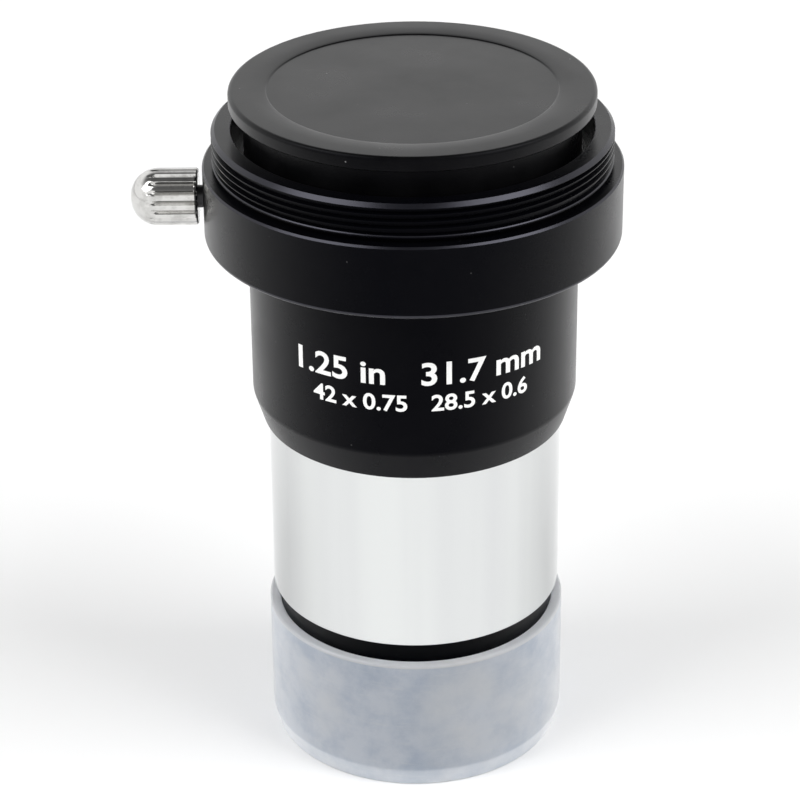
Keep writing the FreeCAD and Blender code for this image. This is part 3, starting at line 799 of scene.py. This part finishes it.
def makeCup():
    radius, low, high = nodeSpan("nose_dust_cap")
    bore = radius - cup["wall"]
    foot = radius - cup["bevelInset"]
    bevelLow = low + cup["corner"]
    bevelHigh = bevelLow + cup["bevelHeight"]
    bm = turnOutline([
        (0, low), (foot, low), (foot, bevelLow), (radius, bevelHigh), (radius, high), (bore, high),
        (bore, low + cup["floor"]), (0, low + cup["floor"])])
    roundRing(bm, foot, low, cup["cornerRound"])
    roundRing(bm, radius, bevelHigh, cup["bevelRound"])
    roundRing(bm, radius, high, cup["rim"], 4)
    roundRing(bm, bore, high, cup["rim"], 4)
    finishPiece(looseObject("noseCup", bm), "nose_cap", [milky], "nose_dust_cap")


# thumbscrew: pieces are made up the Z axis and then laid along -X
stud = {"root": 1.23, "crest": 1.5, "pitch": 0.5, "threadLength": 5.6, "threadStart": 0.35, "turns": 10,
        "neck": 1.2, "neckSlope": 0.1, "tipEdge": 0.15, "steps": 48}


def layAlongScrew(bm, start):
    lowCorner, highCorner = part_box("thumbscrew_knob")
    height = (lowCorner.z + highCorner.z) / 2
    place = Matrix.Translation((start, 0, height)) @ Matrix.Rotation(-pi / 2, 4, "Y")
    bmesh.ops.transform(bm, matrix=place, verts=bm.verts)


def makeKnob():
    lowCorner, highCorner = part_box("thumbscrew_knob")
    length = (highCorner.x - lowCorner.x) / mm
    radius = (highCorner.z - lowCorner.z) / 2 / mm
    straight = length - knob["dome"]
    rise = (straight - knob["edge"]) / knob["rows"]
    side = [(radius, knob["edge"] + rise * row) for row in range(knob["rows"] + 1)]
    dome = arcPoints((radius - knob["dome"], straight), knob["dome"], 0, 90, knob["domeSteps"])
    outline = [(0, knob["holeDepth"]), (knob["hole"], knob["holeDepth"]), (knob["hole"], 0),
               (radius - knob["edge"], 0)] + side + dome[1:] + [(0, length)]
    bm = turnOutline(outline, knob["flutes"] * knob["fluteSteps"])
    for vert in bm.verts:
        across = math.hypot(vert.co.x, vert.co.y) / mm
        along = vert.co.z / mm
        if across < radius * knob["fluteFrom"]:
            continue
        angle = math.atan2(vert.co.y, vert.co.x) * knob["flutes"]
        groove = max((math.cos(angle) - knob["fluteShare"]) / (1 - knob["fluteShare"]), 0)
        fade = 1 if along < straight else max(1 - (along - straight) / knob["taper"], 0)
        scale = 1 - knob["fluteDepth"] * groove * fade / across
        vert.co.x *= scale
        vert.co.y *= scale
    bmesh.ops.recalc_face_normals(bm, faces=bm.faces)
    layAlongScrew(bm, highCorner.x)
    finishPiece(looseObject("knobBody", bm), "screw_knob", [nickel],
                "thumbscrew_knob", knob["smoothAngle"])


def makeStud():
    lowCorner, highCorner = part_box("thumbscrew_stud")
    length = (highCorner.x - lowCorner.x) / mm
    bm = turnOutline([(0, 0), (stud["root"], 0), (stud["root"], stud["threadLength"]),
                      (stud["neck"], stud["threadLength"] + stud["neckSlope"]),
                      (stud["neck"], length), (0, length)], stud["steps"])
    roundRing(bm, stud["root"], 0, stud["tipEdge"])
    windThread(bm, stud["root"], stud["crest"], stud["threadStart"], stud["turns"], stud["pitch"],
               stud["steps"])
    layAlongScrew(bm, highCorner.x)
    finishPiece(looseObject("studRod", bm), "screw_stud", [steel], "thumbscrew_stud")


makeTopLid()
makeHolder()
makeBody()
makeMarking()
makeNose()
makeCell()
makeSpannerRing()
makeLenses()
makeCup()
makeKnob()
makeStud()
print("pieces ready")


# pale floor, soft light and camera
studio = {"floorSize": 6.0, "floorColour": (0.935, 0.935, 0.935), "floorCloud": (0.95, 0.95, 0.95),
          "floorPatches": 3, "floorRoughness": 0.9, "floorGloss": 0.1, "horizon": 1.12, "ceiling": 0.12,
          "ceilingFrom": 0.45, "ceilingTo": 0.8, "backdrop": 1.2, "lampAim": (0, 0, 0.04)}
lamps = {
    "leftBox": {"place": (-0.78, -0.34, 1.00), "size": 0.80, "power": 8.2},
    "rightBox": {"place": (0.78, -0.32, 1.02), "size": 0.80, "power": 9.0},
}
shot = {"lens": 131.62, "sensor": 36, "nearest": 0.01, "distance": 318.92, "elevation": 27.83,
        "roll": -0.553, "aim": (-1.59, 0, 39.69)}


def makeSky():
    # white all round, a dark ceiling, and an even white where the camera sees it directly
    world = bpy.data.worlds.new("softWorld")
    world.use_nodes = True
    nodes, links = world.node_tree.nodes, world.node_tree.links
    sky = nodes["Background"]
    sky.inputs["Color"].default_value = (1, 1, 1, 1)
    coords = nodes.new("ShaderNodeTexCoord")
    direction = nodes.new("ShaderNodeSeparateXYZ")
    links.new(coords.outputs["Generated"], direction.inputs["Vector"])
    rise = nodes.new("ShaderNodeMapRange")
    rise.interpolation_type = "SMOOTHSTEP"
    rise.inputs["From Min"].default_value = studio["ceilingFrom"]
    rise.inputs["From Max"].default_value = studio["ceilingTo"]
    rise.inputs["To Min"].default_value = studio["horizon"]
    rise.inputs["To Max"].default_value = studio["ceiling"]
    links.new(direction.outputs["Z"], rise.inputs["Value"])
    path = nodes.new("ShaderNodeLightPath")
    seen = nodes.new("ShaderNodeMix")
    seen.inputs["B"].default_value = studio["backdrop"]
    links.new(path.outputs["Is Camera Ray"], seen.inputs["Factor"])
    links.new(rise.outputs["Result"], seen.inputs["A"])
    links.new(seen.outputs["Result"], sky.inputs["Strength"])
    bpy.context.scene.world = world


def makeStudio():
    bm = bmesh.new()
    half = studio["floorSize"] / 2
    bmesh.ops.create_grid(bm, x_segments=1, y_segments=1, size=half)
    floor = looseObject("studioFloor", bm)
    material, shader, coords = newMaterial("paleFloor")
    cloud = addNoise(material, coords.outputs["Object"], studio["floorPatches"], 2)
    paint = mixColours(material, cloud, studio["floorColour"], studio["floorCloud"])
    material.node_tree.links.new(paint, shader.inputs["Base Color"])
    shader.inputs["Roughness"].default_value = studio["floorRoughness"]
    shader.inputs["Specular IOR Level"].default_value = studio["floorGloss"]
    floor.data.materials.append(material)
    makeSky()
    for name, lamp in lamps.items():
        light = bpy.data.lights.new(name, "AREA")
        light.size = lamp["size"]
        light.energy = lamp["power"]
        softBox = bpy.data.objects.new(name, light)
        softBox.location = lamp["place"]
        aim = Vector(studio["lampAim"]) - Vector(lamp["place"])
        softBox.rotation_euler = aim.to_track_quat("-Z", "Y").to_euler()
        bpy.context.scene.collection.objects.link(softBox)


def makeCamera():
    camera = bpy.data.cameras.new("camera")
    camera.lens = shot["lens"]
    camera.sensor_width = shot["sensor"]
    camera.clip_start = shot["nearest"]
    tilt = math.radians(shot["elevation"])
    aim = Vector(shot["aim"]) * mm
    back = Vector((0, -math.cos(tilt), math.sin(tilt)))
    cameraObject = bpy.data.objects.new("camera", camera)
    cameraObject.location = aim + back * shot["distance"] * mm
    look = Matrix.Rotation(pi / 2 - tilt, 3, "X") @ Matrix.Rotation(math.radians(shot["roll"]), 3, "Z")
    cameraObject.rotation_euler = look.to_euler()
    bpy.context.scene.collection.objects.link(cameraObject)
    bpy.context.scene.camera = cameraObject


makeStudio()
makeCamera()
bpy.context.scene.view_settings.view_transform = "Standard"
print("studio ready")
